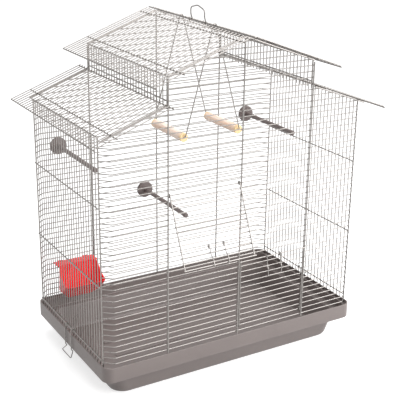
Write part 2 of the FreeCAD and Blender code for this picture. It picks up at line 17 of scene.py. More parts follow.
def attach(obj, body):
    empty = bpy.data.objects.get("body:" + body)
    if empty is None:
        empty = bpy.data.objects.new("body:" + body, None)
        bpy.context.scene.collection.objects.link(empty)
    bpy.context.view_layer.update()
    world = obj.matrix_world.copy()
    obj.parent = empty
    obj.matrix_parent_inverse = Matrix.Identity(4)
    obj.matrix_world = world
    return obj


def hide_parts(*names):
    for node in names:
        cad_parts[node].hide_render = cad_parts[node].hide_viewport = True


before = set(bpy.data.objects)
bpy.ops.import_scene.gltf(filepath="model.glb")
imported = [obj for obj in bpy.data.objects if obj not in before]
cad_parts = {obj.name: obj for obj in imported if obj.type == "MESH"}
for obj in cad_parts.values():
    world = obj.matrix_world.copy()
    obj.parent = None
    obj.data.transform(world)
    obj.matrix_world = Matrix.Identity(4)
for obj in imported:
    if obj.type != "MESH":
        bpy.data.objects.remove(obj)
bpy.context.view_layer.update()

# %% [markdown]
# ## Grids of points
#
# Nearly every surface of the cage is a grid: rings of points that follow each other, joined by
# quads and closed by a cap at each end. Blender's curve objects could draw wires as well, but a
# grid worked out with numpy puts every ring exactly where it should be, and hundreds of wires of
# one kind share one array. Everything is measured in millimetres until it goes into a mesh.

# %% Rings and faces
MM = 0.001
X, Y, Z = np.eye(3)
MIRROR_X, MIRROR_Y = np.array([-1, 1, 1]), np.array([1, -1, 1])


def grid_faces(rings, sides):
    """Quads between neighbouring rings, and the two rings that close the ends."""
    ring, side = np.meshgrid(np.arange(rings - 1), np.arange(sides), indexing="ij")
    after = (side + 1) % sides
    quads = np.stack([ring * sides + side, ring * sides + after,
                      (ring + 1) * sides + after, (ring + 1) * sides + side], axis=-1)
    caps = np.stack([np.arange(sides)[::-1], (rings - 1) * sides + np.arange(sides)])
    return quads.reshape(-1, 4), caps


def surface(points, rings, sides):
    """The points of one or more grids that follow each other, then all quads and all caps."""
    grids = points.reshape(-1, rings * sides, 3)
    first = (np.arange(len(grids)) * rings * sides)[:, None, None]
    faces = [(group + first).reshape(-1, group.shape[1]) for group in grid_faces(rings, sides)]
    return grids.reshape(-1, 3), *faces


print("a grid of two rings with six sides has", sum(map(len, grid_faces(2, 6))), "faces")

# %% [markdown]
# ## Round wire
#
# Drawn wire is round, and the shears that cut it leave its ends a little rounded over. A wire is
# one circle carried along a line: one direction of the grid walks along the line, the other walks
# round the circle. A whole stack of lines goes through at once, so no loop touches a vertex.

# %% Wires as swept circles
WIRE_SIDES = 10
# At a cut end the circle shrinks to this share of itself, over this share of the diameter
END_SHARE, END_INSET = 0.62, 0.22


def unit(vectors):
    """Each vector divided by its own length."""
    return vectors / np.linalg.norm(vectors, axis=-1, keepdims=True)


def tube(paths, diameter, facing):
    """A circle carried along each line: point + radius (cos a * side + sin a * up), where side is
    the facing direction made square to the line and up is square to both; ends are eased."""
    paths = np.array(paths, float, ndmin=3)
    heading = unit(np.diff(paths, axis=1))
    first, last, inset = paths[:, :1], paths[:, -1:], diameter * END_INSET
    paths = np.concatenate([first, first + inset * heading[:, :1], paths[:, 1:-1],
                            last - inset * heading[:, -1:], last], axis=1)
    heading = unit(np.diff(paths, axis=1))
    tangent = np.concatenate([
        heading[:, :1], unit(heading[:, :-1] + heading[:, 1:]), heading[:, -1:]], axis=1)
    facing = np.broadcast_to(np.asarray(facing, float), tangent.shape)
    side = unit(facing - (facing * tangent).sum(-1, keepdims=True) * tangent)
    up = np.cross(tangent, side)
    angle = np.linspace(0, 2 * np.pi, WIRE_SIDES, endpoint=False)[:, None]
    circle = np.cos(angle) * side[:, :, None] + np.sin(angle) * up[:, :, None]
    swell = np.ones((paths.shape[1], 1, 1))
    swell[[0, -1]] = END_SHARE
    return surface(paths[:, :, None] + diameter / 2 * swell * circle, paths.shape[1], WIRE_SIDES)


print("a straight wire has", len(tube([0 * X, X], 2, Z)[0]), "points")

# %% [markdown]
# ## Straight runs and bends
#
# Wire is bent round a pin, so its corners are short curves. A parabola between two tangent points
# looks the same at this size, and one line of algebra rounds all the corners of a run. The same
# helper later eases the edges of the mouldings, because it works on lists of sizes as well.

# %% Lines
BEND_STEPS, EDGE_STEPS = 7, 5
# A bend takes at most this share of a run, so that two bends never meet
MOST_TRIM = 0.49


def straight(starts, ends):
    """Straight lines from two arrays of end points."""
    starts, ends = np.broadcast_arrays(np.asarray(starts, float), np.asarray(ends, float))
    return np.stack([starts, ends], axis=1)


def rounded(points, bend, steps=BEND_STEPS):
    """A line whose corners are replaced by parabolas: each corner is the middle control point of
    a quadratic Bezier curve that starts and ends one bend length away from it. A point may hold
    any count of numbers, and bend may be one length or one for each corner."""
    points = np.asarray(points, float)
    runs = np.diff(points, axis=0)
    length = np.linalg.norm(runs, axis=1)
    heading = (runs / length[:, None])[:, None]
    trim = np.minimum(bend, np.minimum(length[:-1], length[1:]) * MOST_TRIM)[:, None, None]
    corner = points[1:-1, None]
    start, end = corner - trim * heading[:-1], corner + trim * heading[1:]
    t = np.linspace(0, 1, steps)[:, None]
    curve = (1 - t) ** 2 * start + 2 * t * (1 - t) * corner + t ** 2 * end
    return np.concatenate([points[:1], curve.reshape(-1, points.shape[1]), points[-1:]])


print("a line with one rounded corner has", len(rounded([0 * X, X, X + Y], 0.2)), "points")

# %% [markdown]
# ## Spot welds
#
# Where two wires cross, a welding press squeezes them between copper electrodes and a pulse of
# current melts the contact. A small lens of metal is left in the crook. A bump map could not show
# it in outline, so each lens is geometry. There are about a thousand, so each has only 20 faces.

# %% Weld beads
BEAD_RINGS, BEAD_SIDES = 4, 6
# The poles stay open by this angle, and a flat cap closes each
POLE = 0.35


def beads(centres, half_sizes):
    """A lens at each centre: centre + half size * (sin p cos t, sin p sin t, cos p), from the lower
    pole to the upper one; the poles are small rings closed by flat caps."""
    tilt = np.linspace(np.pi - POLE, POLE, BEAD_RINGS)[:, None]
    turn = np.linspace(0, 2 * np.pi, BEAD_SIDES, endpoint=False)
    ball = np.stack(np.broadcast_arrays(
        np.sin(tilt) * np.cos(turn), np.sin(tilt) * np.sin(turn), np.cos(tilt)), axis=-1)
    ball = ball.reshape(-1, 3) * half_sizes
    return surface(np.asarray(centres, float)[:, None] + ball, BEAD_RINGS, BEAD_SIDES)


def crossings(first, second, place):
    """A bead's centre at every pair of the two lists; place turns the pair into a point."""
    pairs = np.meshgrid(np.asarray(first, float), np.asarray(second, float))
    return np.stack(np.broadcast_arrays(*place(*(grid.ravel() for grid in pairs))), axis=-1)


print("a bead has", sum(len(group) for group in beads([0 * X], (1, 1, 1))[1:]), "faces")

# %% [markdown]
# ## From arrays to pieces
#
# One helper turns surfaces into a mesh object, shades it smooth apart from its true edges, hangs it
# under an empty for the body it rides on, gives it the material of its slot and hides the CAD nodes
# that it stands for. The object stays at the origin and its place is in its mesh, so nothing slides
# later.

# %% Pieces
SHARP_ANGLE = math.radians(35)
finishes = {}


def piece(name, surfaces, body, slot, *nodes):
    """A mesh object from surfaces, each a set of points followed by its groups of faces."""
    points, faces, first = [], [], 0
    for vertices, *groups in surfaces:
        points.append(vertices)
        for group in groups:
            faces += (group + first).tolist()
        first += len(vertices)
    mesh = bpy.data.meshes.new(name)
    mesh.from_pydata((np.concatenate(points) * MM).tolist(), [], faces)
    mesh.polygons.foreach_set("use_smooth", np.ones(len(faces), bool))
    mesh.set_sharp_from_angle(angle=SHARP_ANGLE)
    mesh.update()
    obj = bpy.data.objects.new(name, mesh)
    bpy.context.scene.collection.objects.link(obj)
    mesh.materials.append(finishes[slot])
    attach(obj, body)
    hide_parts(*nodes)
    print(name, len(mesh.vertices), "points", len(mesh.polygons), "faces")


print("edges sharper than", round(math.degrees(SHARP_ANGLE)), "degrees stay crisp")

# %% [markdown]
# ## Colours and shader nodes
#
# Colours are written as the hex values that a screen shows, and Blender's shaders want linear
# light, so one function converts them. Nodes could be wired by hand in the shader editor. In a
# script, one small function adds a node with its settings and links, and the rest reads as a list.

# %% Shader helpers
def linear(hex_colour):
    """An sRGB hex colour as linear RGBA: the straight foot of the curve, then its power law."""
    channels = np.array([int(hex_colour[i:i + 2], 16) for i in (1, 3, 5)]) / 255
    low, high = channels / 12.92, ((channels + 0.055) / 1.055) ** 2.4
    return (*np.where(channels <= 0.04045, low, high).tolist(), 1.0)


def node(material, kind, links=None, **settings):
    """One shader node with its settings; links maps each input to the socket that feeds it."""
    made = material.node_tree.nodes.new(kind)
    for key, value in settings.items():
        target = made.inputs.get(key.replace("_", " "))
        if target is None:
            setattr(made, key, value)
        else:
            target.default_value = value
    for key, socket in (links or {}).items():
        material.node_tree.links.new(socket, made.inputs[key])
    return made


def finish(slot, name, colour, **settings):
    """A principled material for one slot. The colour is its plain tone, for a viewer that reads no
    nodes; the sockets of the shader that is given back can be fed later."""
    material = bpy.data.materials.new(name)
    material.use_nodes = True
    shader = material.node_tree.nodes["Principled BSDF"]
    shader.inputs["Base Color"].default_value = linear(colour)
    for key, value in settings.items():
        shader.inputs[key.replace("_", " ")].default_value = value
    finishes[slot] = material
    return material, shader


print("middle grey on the screen is", round(linear("#808080")[0], 3), "in linear light")

# %% [markdown]
# ## Zinc on wire
#
# The welded panels are dipped in a plating bath, which covers the steel with a thin coat of zinc.
# It could be one grey metal, but a real coat is cloudy: some patches are duller than others. One
# noise texture, as long as a finger is wide, moves both the tone and the roughness.

# %% Zinc
CLOUD = 14
# Zinc plated drawn steel: a grey metal whose brightness comes from what it mirrors, with soft
# highlights along each wire
zinc, zinc_shader = finish("wire", "zinc_plated_drawn_steel", "#787471", Metallic=1.0)
place = node(zinc, "ShaderNodeTexCoord")
clouds = node(zinc, "ShaderNodeTexNoise", {"Vector": place.outputs["Object"]},
              Scale=1 / (CLOUD * MM), Detail=3.0)
tone = node(zinc, "ShaderNodeMixRGB", {"Fac": clouds.outputs["Fac"]},
            Color1=linear("#7F7B78"), Color2=linear("#938F8C"))
dull = node(zinc, "ShaderNodeMapRange", {"Value": clouds.outputs["Fac"]},
            From_Min=0.35, From_Max=0.65, To_Min=0.26, To_Max=0.36)
zinc.node_tree.links.new(tone.outputs["Color"], zinc_shader.inputs["Base Color"])
zinc.node_tree.links.new(dull.outputs["Result"], zinc_shader.inputs["Roughness"])
print(zinc.name, "with clouds of", CLOUD, "mm")

# %% [markdown]
# ## Moulded plastics
#
# Tray, feeder and perches are injection moulded. The melt's colour drifts a little as it fills
# the mould, and the mould's own skin, blasted or polished, is printed on every face. So a broad
# noise mixes two close tones, and a fine one gives the dents and spreads the sheen. One function
# serves all three, because only the tones and the skin of the mould differ.

# %% Plastics
# How far the melt's colour drifts, in millimetres
FLOW = 60
PLASTIC_IOR = 1.49


def moulded(slot, name, dark, light, grain, depth, roughness):
    """A moulded plastic: broad flow clouds mix two close tones, and the mould's blasted grain
    dents the surface and spreads the sheen between two roughness values."""
    material, shader = finish(slot, name, light, IOR=PLASTIC_IOR)
    place = node(material, "ShaderNodeTexCoord")
    flow = node(material, "ShaderNodeTexNoise", {"Vector": place.outputs["Object"]},
                Scale=1 / (FLOW * MM), Detail=2.0)
    tone = node(material, "ShaderNodeMixRGB", {"Fac": flow.outputs["Fac"]},
                Color1=linear(dark), Color2=linear(light))
    blast = node(material, "ShaderNodeTexNoise", {"Vector": place.outputs["Object"]},
                 Scale=1 / (grain * MM), Detail=4.0)
    sheen = node(material, "ShaderNodeMapRange", {"Value": blast.outputs["Fac"]},
                 From_Min=0.3, From_Max=0.7, To_Min=roughness[0], To_Max=roughness[1])
    dents = node(material, "ShaderNodeBump", {"Height": blast.outputs["Fac"]},
                 Strength=0.5, Distance=depth * MM)
    link = material.node_tree.links.new
    link(tone.outputs["Color"], shader.inputs["Base Color"])
    link(sheen.outputs["Result"], shader.inputs["Roughness"])
    link(dents.outputs["Normal"], shader.inputs["Normal"])
    print(name, "with a grain of", grain, "mm")


# Polypropylene from a blasted mould: a soft sheen over a warm grey. The grain is a third of a
# millimetre on the real tray and is drawn ten times coarser so that it shows.
moulded("tray_plastic", "satin_moulded_plastic_taupe", "#6E6563", "#7A716E",
        grain=3.2, depth=0.12, roughness=(0.36, 0.5))
# Polystyrene from a polished mould: a clear highlight over a strong red. It has no grain, only
# the slow waves of the polishing.
moulded("feeder_plastic", "glossy_moulded_plastic_red", "#EC0C12", "#FC1A1E",
        grain=7.0, depth=0.05, roughness=(0.2, 0.32))
# Polypropylene for perches and nuts: darker than the tray, with its grain, coarser than life too
moulded("perch_plastic", "satin_moulded_plastic_umber", "#635856", "#736764",
        grain=2.4, depth=0.12, roughness=(0.34, 0.48))

# %% [markdown]
# ## Pale wood
#
# The swing's bars are turned from pale beech and left nearly dry. A wood texture could be painted
# or photographed. Here it is noise stretched along the bar: long fibres first, then the short dark
# flecks that tell beech from other pale woods.

# %% Fibres and flecks
# Real fibres are half a millimetre wide and flecks about one, and both are drawn wider to show
FIBRE_WIDTH, FIBRE_LENGTH = 4.0, 70.0
FLECK_WIDTH, FLECK_LENGTH = 1.6, 9.0


def per_metre(width, length):
    """The scale of a pattern so wide across the bar and so long along it, which is along Y."""
    return 1 / (width * MM), 1 / (length * MM), 1 / (width * MM)


# Turned beech: dry and matt, so it shows its colour and hardly any highlight
beech, beech_shader = finish("wood", "turned_pale_beech", "#F0CFBA", Roughness=0.6, IOR=1.5)
place = node(beech, "ShaderNodeTexCoord")
along = node(beech, "ShaderNodeMapping", {"Vector": place.outputs["Object"]},
             Scale=per_metre(FIBRE_WIDTH, FIBRE_LENGTH))
fibres = node(beech, "ShaderNodeTexNoise", {"Vector": along.outputs["Vector"]},
              Scale=1.0, Detail=4.0)
spread = node(beech, "ShaderNodeMapRange", {"Value": fibres.outputs["Fac"]},
              From_Min=0.32, From_Max=0.68)
wood_tone = node(beech, "ShaderNodeMixRGB", {"Fac": spread.outputs["Result"]},
                 Color1=linear("#FBD6BC"), Color2=linear("#FFF2E8"))
short = node(beech, "ShaderNodeMapping", {"Vector": place.outputs["Object"]},
             Scale=per_metre(FLECK_WIDTH, FLECK_LENGTH))
flecks = node(beech, "ShaderNodeTexNoise", {"Vector": short.outputs["Vector"]},
              Scale=1.0, Detail=1.0)
sparse = node(beech, "ShaderNodeMapRange", {"Value": flecks.outputs["Fac"]},
              From_Min=0.6, From_Max=0.72, To_Max=0.35)
flecked = node(beech, "ShaderNodeMixRGB",
               {"Fac": sparse.outputs["Result"], "Color1": wood_tone.outputs["Color"]},
               Color2=linear("#B98562"))
print(beech.name, "with fibres of", FIBRE_LENGTH, "mm and flecks of", FLECK_LENGTH, "mm")

# %% [markdown]
# ## End grain
#
# End grain drinks oil and dirt, so the last few millimetres of each bar turn honey coloured. The
# distance from the bar's middle decides where, which follows the bar in every view. A second
# material for the ends would leave a hard line. The fibres also stand a little proud.

# %% Honeyed ends
BAR_HALF, END_GRAIN, RIDGE_DEPTH = 62.0, 9.0, 0.2
axes = node(beech, "ShaderNodeSeparateXYZ", {"Vector": place.outputs["Object"]})
reach = node(beech, "ShaderNodeMath", {0: axes.outputs["Y"]}, operation="ABSOLUTE")
oiled = node(beech, "ShaderNodeMapRange", {"Value": reach.outputs["Value"]},
             From_Min=(BAR_HALF - END_GRAIN) * MM, From_Max=BAR_HALF * MM, To_Max=0.75)
honeyed = node(beech, "ShaderNodeMixRGB",
               {"Fac": oiled.outputs["Result"], "Color1": flecked.outputs["Color"]},
               Color2=linear("#FFDB98"))
ridges = node(beech, "ShaderNodeBump", {"Height": fibres.outputs["Fac"]},
              Strength=0.4, Distance=RIDGE_DEPTH * MM)
beech.node_tree.links.new(honeyed.outputs["Color"], beech_shader.inputs["Base Color"])
beech.node_tree.links.new(ridges.outputs["Normal"], beech_shader.inputs["Normal"])
print("finishes", sorted(finishes))

# %% [markdown]
# ## The shape of the roof
#
# The cage has two low roofs and, over a raised middle bay, two upper ones, all at one slope. Their
# wires lie in layers: fine wires on top, cross wires under them and gable rails below. The places
# could be typed in one by one. Two formulas give them all, so every wire ends where it should.

# %% Roof planes
HALF_WIDTH, HALF_DEPTH, HALF_TOWER = 295.0, 173.5, 162.5
# Diameters of the fine wires, uprights, cross wires and gable rails
FINE, UPRIGHT, CROSS, RAIL = 2.0, 3.0, 2.5, 2.9
# Each roof plane by the reach and height of its eave
LOW, UPPER = (325.0, 532.0), (205.5, 627.0)
ROOF_ANGLE = math.radians(20)
SLOPE, TILT = math.tan(ROOF_ANGLE), math.cos(ROOF_ANGLE)
# Depths of the layers under the fine wires' middle
CROSS_LAYER, RAIL_LAYER = 2.25, 4.95


def roof_height(reach, plane, layer=0.0):
    """Height of a layer under a roof plane: eave height + (eave reach - |reach|) tan slope, less
    the layer's depth measured straight down."""
    return plane[1] + (plane[0] - np.abs(reach)) * SLOPE - layer / TILT


def rail_reach(height, plane):
    """How far out the gable rail is at a height: the roof formula turned round."""
    return plane[0] - (height + RAIL_LAYER / TILT - plane[1]) / SLOPE


print("the upper roofs meet at", round(roof_height(0, UPPER), 1), "mm")

# %% [markdown]
# ## Wires of the front and the back
#
# Each horizontal wire is cut to length and bent near both ends, so that its tail runs across the
# cage's corner to the side wall. The front leaves two bays open for the doors. An Array modifier
# could repeat one wire, but lifting one line to every level lets each level have its own gaps.

# %% Levels and corners
PITCH, WIRE_FOOT = 12.0, 75.0
# Levels that wrap the corners, levels under the low roofs and all levels up to the ridge
WRAPPED_LEVELS, LOW_LEVELS, ALL_LEVELS = 39, 43, 52
# The tail starts this far before the corner and ends this far behind it, with this bend
CORNER_CUT, WRAP_END, WRAP_BEND = 17.5, 15.5, 3.0


def level_height(levels):
    """Height of the wires at these levels: the lowest wire + pitch * level."""
    return WIRE_FOOT + PITCH * levels


def wrapped(side, front):
    """The end of a panel wire at height zero: a straight run across the corner from the side
    wall's edge upright, a tight bend and the start of the front."""
    line = [[HALF_WIDTH, HALF_DEPTH - WRAP_END, 0], [HALF_WIDTH - CORNER_CUT, HALF_DEPTH, 0],
            [HALF_WIDTH - 2 * CORNER_CUT, HALF_DEPTH, 0]]
    return rounded(line, WRAP_BEND, EDGE_STEPS)[:-1] * [side, front, 1]


print("levels", level_height(0), "to", level_height(ALL_LEVELS - 1), "mm")


# %% Horizontal wires
def lifted(runs, levels):
    """One wire at each level, from runs of points at height zero."""
    return tube(np.vstack(runs) + level_height(levels)[:, None, None] * Z, FINE, Z)


def horizontals(front, bays):
    """The wrapped wires of one panel; bays lists (levels, x from, x to) left open."""
    y = front * HALF_DEPTH
    left, right = wrapped(-1, front), wrapped(1, front)[::-1]
    surfaces, closed = [], np.ones(WRAPPED_LEVELS, bool)
    for levels, x_from, x_to in bays:
        closed[levels] = False
        surfaces += [lifted([left, [x_from, y, 0]], levels), lifted([[x_to, y, 0], right], levels)]
    return surfaces + [lifted([left, right], np.flatnonzero(closed))]


print("wires that wrap the corners of a panel", WRAPPED_LEVELS)


# %% Gable wires
def gable_wires(front):
    """Straight wires above the wrapped ones, each as long as the gable is wide at its level."""
    height = level_height(np.arange(WRAPPED_LEVELS, ALL_LEVELS))
    reach = np.minimum(HALF_TOWER, rail_reach(height, UPPER))
    low = height < level_height(LOW_LEVELS)
    reach = np.where(low, np.maximum(reach, rail_reach(height, LOW)), reach)
    end = np.column_stack([reach, np.full_like(reach, front * HALF_DEPTH), height])
    return [tube(straight(end * MIRROR_X, end), FINE, Z)]


print("wires in the gables of a panel", ALL_LEVELS - WRAPPED_LEVELS)

# %% [markdown]
# ## Uprights, welds and gable rails
#
# Three thick uprights stand outside the wires of each panel and hold them at their spacing, and
# bent rails along the gables carry the roofs. Every crossing with an upright is a spot weld. The
# heights could be measured by eye, but from the roof formulas the roofs rest on the rails.

# %% Uprights
UPRIGHT_FOOT = 81.0
PANEL_WELD = (1.2, 0.7, 1.1)


def uprights(front):
    """Three uprights up to the gable rails, and a weld wherever one crosses a wire."""
    y = front * (HALF_DEPTH + FINE / 2 + UPRIGHT / 2)
    across = np.array([-HALF_TOWER, 0, HALF_TOWER])
    outside = HALF_TOWER + UPRIGHT / 2
    tops = roof_height(np.array([outside, 0, outside]), UPPER, RAIL_LAYER + RAIL)
    feet = np.column_stack([across, np.full(3, y), np.full(3, UPRIGHT_FOOT)])
    heads = np.column_stack([feet[:, :2], tops])
    y_weld = front * (HALF_DEPTH + FINE / 2)
    heights = level_height(np.arange(1, ALL_LEVELS))
    outer = crossings(across[::2], heights[heights < tops[0]], lambda x, z: (x, y_weld, z))
    middle = crossings([0], heights, lambda x, z: (x, y_weld, z))
    return [tube(straight(feet, heads), UPRIGHT, Y),
            beads(outer, PANEL_WELD), beads(middle, PANEL_WELD)]


print("uprights start at", UPRIGHT_FOOT, "mm")

# %% Gable rails
GABLE_BEND = 5.0


def gable_rails(front):
    """A rail under each low roof, and one bent rail under both upper roofs."""
    y = front * (HALF_DEPTH + FINE / 2 + RAIL / 2)
    ends = np.array([HALF_WIDTH, HALF_TOWER + UPRIGHT / 2 + RAIL / 2])
    low = np.column_stack([ends, np.full(2, y), roof_height(ends, LOW, RAIL_LAYER)])
    peak = np.array([-HALF_TOWER, 0, HALF_TOWER])
    upper = np.column_stack([peak, np.full(3, y), roof_height(peak, UPPER, RAIL_LAYER)])
    return [tube([low, low * MIRROR_X], RAIL, Y), tube(rounded(upper, GABLE_BEND), RAIL, Y)]


print("low rails start at", round(roof_height(HALF_WIDTH, LOW, RAIL_LAYER), 1), "mm")


# %% Front and back panels
def panel(front, bays):
    """All the wires of one panel, front or back."""
    return horizontals(front, bays) + gable_wires(front) + uprights(front) + gable_rails(front)


# Wires cut for a door end this far past the middle of the upright
PAST = 0.9
# Levels left open for the doors: the left door is high, the right one low
LEFT_BAY, RIGHT_BAY = np.arange(16, 28), np.arange(3, 15)
front_bays = [(LEFT_BAY, -HALF_TOWER + PAST, -PAST), (RIGHT_BAY, PAST, HALF_TOWER - PAST)]
piece("front_panel_wires", panel(-1, front_bays), "cage", "wire", "front_panel")
piece("back_panel_wires", panel(1, []), "cage", "wire", "back_panel")

# %% [markdown]
# ## Side walls
#
# The short sides, and the small walls of the raised bay, are combs: vertical wires between two
# thick edge uprights, with a few cross wires welded on outside. Turning a copy of the front would
# give the wrong wires, so a wall is its own function, used for all four.

# %% Walls
WALL_WELD = (0.7, 1.1, 1.1)
# The wires stop this far short of the top of their last cross wire
TUCK = 0.6
SIDE_EDGE, SIDE_FOOT, SIDE_CROSS = 156.5, 74.0, (92.0, 245.0, 404.0, 539.5)
TOWER_EDGE, TOWER_FOOT, TOWER_CROSS = 171.0, 581.0, (594.0, 639.0)


def risers(x, y, foot, top):
    """Vertical lines at x, one for each y."""
    feet = np.column_stack([np.full_like(y, x), y, np.full_like(y, foot)])
    return straight(feet, feet * [1, 1, 0] + top * Z)


def wall(side, x_centre, edge, foot, cross_heights):
    """Vertical wires in a row along Y, two edge uprights and the cross wires outside them."""
    top = cross_heights[-1] + CROSS / 2 - TUCK
    count = (edge - PITCH / 2) // PITCH
    rows = np.arange(-count, count + 1) * PITCH
    x_edge = side * (x_centre + FINE / 2 - UPRIGHT / 2)
    x_weld = side * (x_centre + FINE / 2)
    x_cross = side * (x_centre + FINE / 2 + CROSS / 2)
    cross = np.array([[x_cross, -edge, height] for height in cross_heights])
    welds = crossings(rows, cross_heights, lambda y, z: (x_weld, y, z))
    return [tube(risers(side * x_centre, rows, foot, top), FINE, X),
            tube(risers(x_edge, np.array([-edge, edge]), foot, top), UPRIGHT, X),
            tube(straight(cross, cross * MIRROR_Y), CROSS, X), beads(welds, WALL_WELD)]


print("side walls", SIDE_FOOT, "to", SIDE_CROSS[-1], "mm, raised bay to", TOWER_CROSS[-1], "mm")

# %% [markdown]
# ## Roofs
#
# A roof is a sloping comb as well: fine wires laid on cross wires that rest on the gable rails.
# It sticks out past the walls on every side, like eaves. One wire, drawn down the slope, is
# repeated along the ridge, and mirrored numbers give the other side without turning faces round.

# %% Roofs and walls in place
ROOF_HALF, ROOF_ROWS = 209.0, np.arange(-17, 18) * PITCH
ROOF_WELD = (1.1, 1.1, 0.7)
# Reach of each roof's upper end and of its cross wires
LOW_START, LOW_CROSS = 167.0, (169.0, 280.0, 323.0)
UPPER_START, UPPER_CROSS = 7.0, (22.0, 147.5, 203.5)


def roof(side, plane, start, cross_reaches):
    """Fine wires down the slope at each row, and cross wires along Y one layer lower."""
    ends = np.array([start, plane[0]])
    line = np.column_stack([side * ends, np.zeros(2), roof_height(ends, plane)])
    reach = np.array(cross_reaches)
    cross = np.column_stack([side * reach, np.full_like(reach, -ROOF_HALF),
                             roof_height(reach, plane, CROSS_LAYER)])
    welds = crossings(reach, ROOF_ROWS,
                      lambda x, y: (side * x, y, roof_height(x, plane, FINE / 2)))
    return [tube(line + ROOF_ROWS[:, None, None] * Y, FINE, Y),
            tube(straight(cross, cross * MIRROR_Y), CROSS, X), beads(welds, ROOF_WELD)]


for word, side in (("left", -1), ("right", 1)):
    piece(f"{word}_side_wires", wall(side, HALF_WIDTH, SIDE_EDGE, SIDE_FOOT, SIDE_CROSS),
          "cage", "wire", f"{word}_side_panel")
    piece(f"tower_{word}_wires", wall(side, HALF_TOWER, TOWER_EDGE, TOWER_FOOT, TOWER_CROSS),
          "cage", "wire", f"tower_{word}_panel")
    piece(f"roof_low_{word}_wires", roof(side, LOW, LOW_START, LOW_CROSS),
          "cage", "wire", f"roof_low_{word}")
    piece(f"roof_upper_{word}_wires", roof(side, UPPER, UPPER_START, UPPER_CROSS),
          "cage", "wire", f"roof_upper_{word}")

# %% [markdown]
# ## Ridge
#
# One straight bar lies on the peaks of the two gable rails, and the handle and the swing turn on
# it. A plain cylinder could stand for it, but as a wire it gets the same eased ends as the rest.

# %% Ridge bar
RIDGE_BAR = 3.0
RIDGE = roof_height(0, UPPER, RAIL_LAYER - RAIL / 2) + RIDGE_BAR / 2
ridge = tube([[0, -ROOF_HALF, RIDGE], [0, ROOF_HALF, RIDGE]], RIDGE_BAR, Z)
piece("ridge_bar", [ridge], "cage", "wire", "ridge_rail")

# %% [markdown]
# ## Doors
#
# A door is a small ladder of wires whose two side wires are curled into eyes round one wire of
# the panel, so it hinges without any extra part. Each leaf is drawn shut, about its own hinge,
# and then turned and moved into place. The left one hangs from its top edge and stands ajar.

# %% Eyes
EYE_FROM, EYE_TO, EYE_POINTS = -100, 180, 19


def eye(radius, across, sign=1.0):
    """A nearly closed turn in the YZ plane: (across, radius cos a, sign * radius sin a)."""
    angle = np.radians(np.linspace(EYE_FROM, EYE_TO, EYE_POINTS))
    return np.column_stack([np.full_like(angle, across), radius * np.cos(angle),
                            sign * radius * np.sin(angle)])


print("an eye is open by", 360 - (EYE_TO - EYE_FROM), "degrees")

# %% Door leaves
# Fine wires of a leaf: how many, how far to each side and how far in front of the hinge
LEAF_WIRES, LEAF_HALF, LEAF_SET = 11, 79.25, 0.7
# Side wires: diameter, eye, how far to each side and how far from the hinge they go
STILE, STILE_EYE, STILE_HALF, STILE_LENGTH = 2.6, 3.0, 77.55, 145.2
# Edge wire: diameter, half its length, how far in front of the hinge and how far from it
EDGE, EDGE_HALF, EDGE_SET, EDGE_HEIGHT = 2.4, 80.85, 5.5, 144.0


def door_leaf(direction):
    """Leaf wires, two side wires with eyes, and the edge wire, in the hinge's own frame."""
    heights = direction * PITCH * np.arange(1, LEAF_WIRES + 1)
    start = np.column_stack([np.full_like(heights, -LEAF_HALF), np.full_like(heights, -LEAF_SET),
                             heights])
    stile = np.vstack([eye(STILE_EYE, 0, -direction), [0, -STILE_EYE, direction * STILE_LENGTH]])
    stiles = stile + np.array([-STILE_HALF, STILE_HALF])[:, None, None] * X
    edge = np.array([-EDGE_HALF, -EDGE_SET, direction * EDGE_HEIGHT])
    return [tube(straight(start, start * MIRROR_X), FINE, Z), tube(stiles, STILE, X),
            tube([edge, edge * MIRROR_X], EDGE, Z)]


print("a leaf is", 2 * EDGE_HALF, "mm wide and", EDGE_HEIGHT, "mm high")


# %% Doors in place
def placed(surfaces, shift, turn=np.eye(3)):
    """Surfaces turned about the origin, then shifted."""
    return [(points @ turn.T + shift, *faces) for points, *faces in surfaces]


def turned_x(degrees):
    """The matrix that turns about X: y' = y cos - z sin and z' = y sin + z cos."""
    c, s = math.cos(math.radians(degrees)), math.sin(math.radians(degrees))
    return np.array([[1, 0, 0], [0, c, -s], [0, s, c]])


# The left door stands open by this many degrees
AJAR = turned_x(-24.3)
# Each door hinges on the panel wire next to its bay
LEFT_HINGE = np.array([-HALF_TOWER / 2, -HALF_DEPTH, level_height(LEFT_BAY[-1] + 1)])
RIGHT_HINGE = np.array([HALF_TOWER / 2, -HALF_DEPTH, level_height(RIGHT_BAY[0] - 1)])
piece("left_door_wires", placed(door_leaf(-1), LEFT_HINGE, AJAR),
      "left_door", "wire", "left_door")
piece("right_door_wires", placed(door_leaf(1), RIGHT_HINGE), "right_door", "wire", "right_door")

# %% [markdown]
# ## Latches and tray clips
#
# Latches and clips are bails: one wire with an eye at each end, which drops over the wire or the
# rim that it holds. A latch and a clip differ only in outline, so one function bends both. The
# left latch hangs on a wire of its leaf, the right one on the edge wire, and each clip on the
# lowest cross wire of a side wall.

# %% Bails
BAIL_BEND = 4.0
# A direction that no stretch of a bail runs along, to start the circle from
BAIL_FACING = (0.2, 1, 0.6)


def between_curls(curl, run, mirror, bend):
    """A curl, a run with rounded corners, and the curl again, mirrored and backwards."""
    corners = np.vstack([curl[-1:], run, curl[-1:] * mirror])
    return np.vstack([curl[:-1], rounded(corners, bend), (curl[:-1] * mirror)[::-1]])


def bail(radius, half_span, outline):
    """Two eyes joined by legs that follow the outline down and, mirrored, up again; the outline
    holds points of (outward, drop, half width)."""
    out, drop, half = np.array(outline).T
    leg = np.column_stack([half, -out, -drop])
    legs = np.vstack([leg, leg[::-1] * MIRROR_X])
    line = between_curls(eye(radius, half_span), legs, MIRROR_X, BAIL_BEND)
    return [tube(line, FINE, BAIL_FACING)]


print("bails are bent from wire of", FINE, "mm")

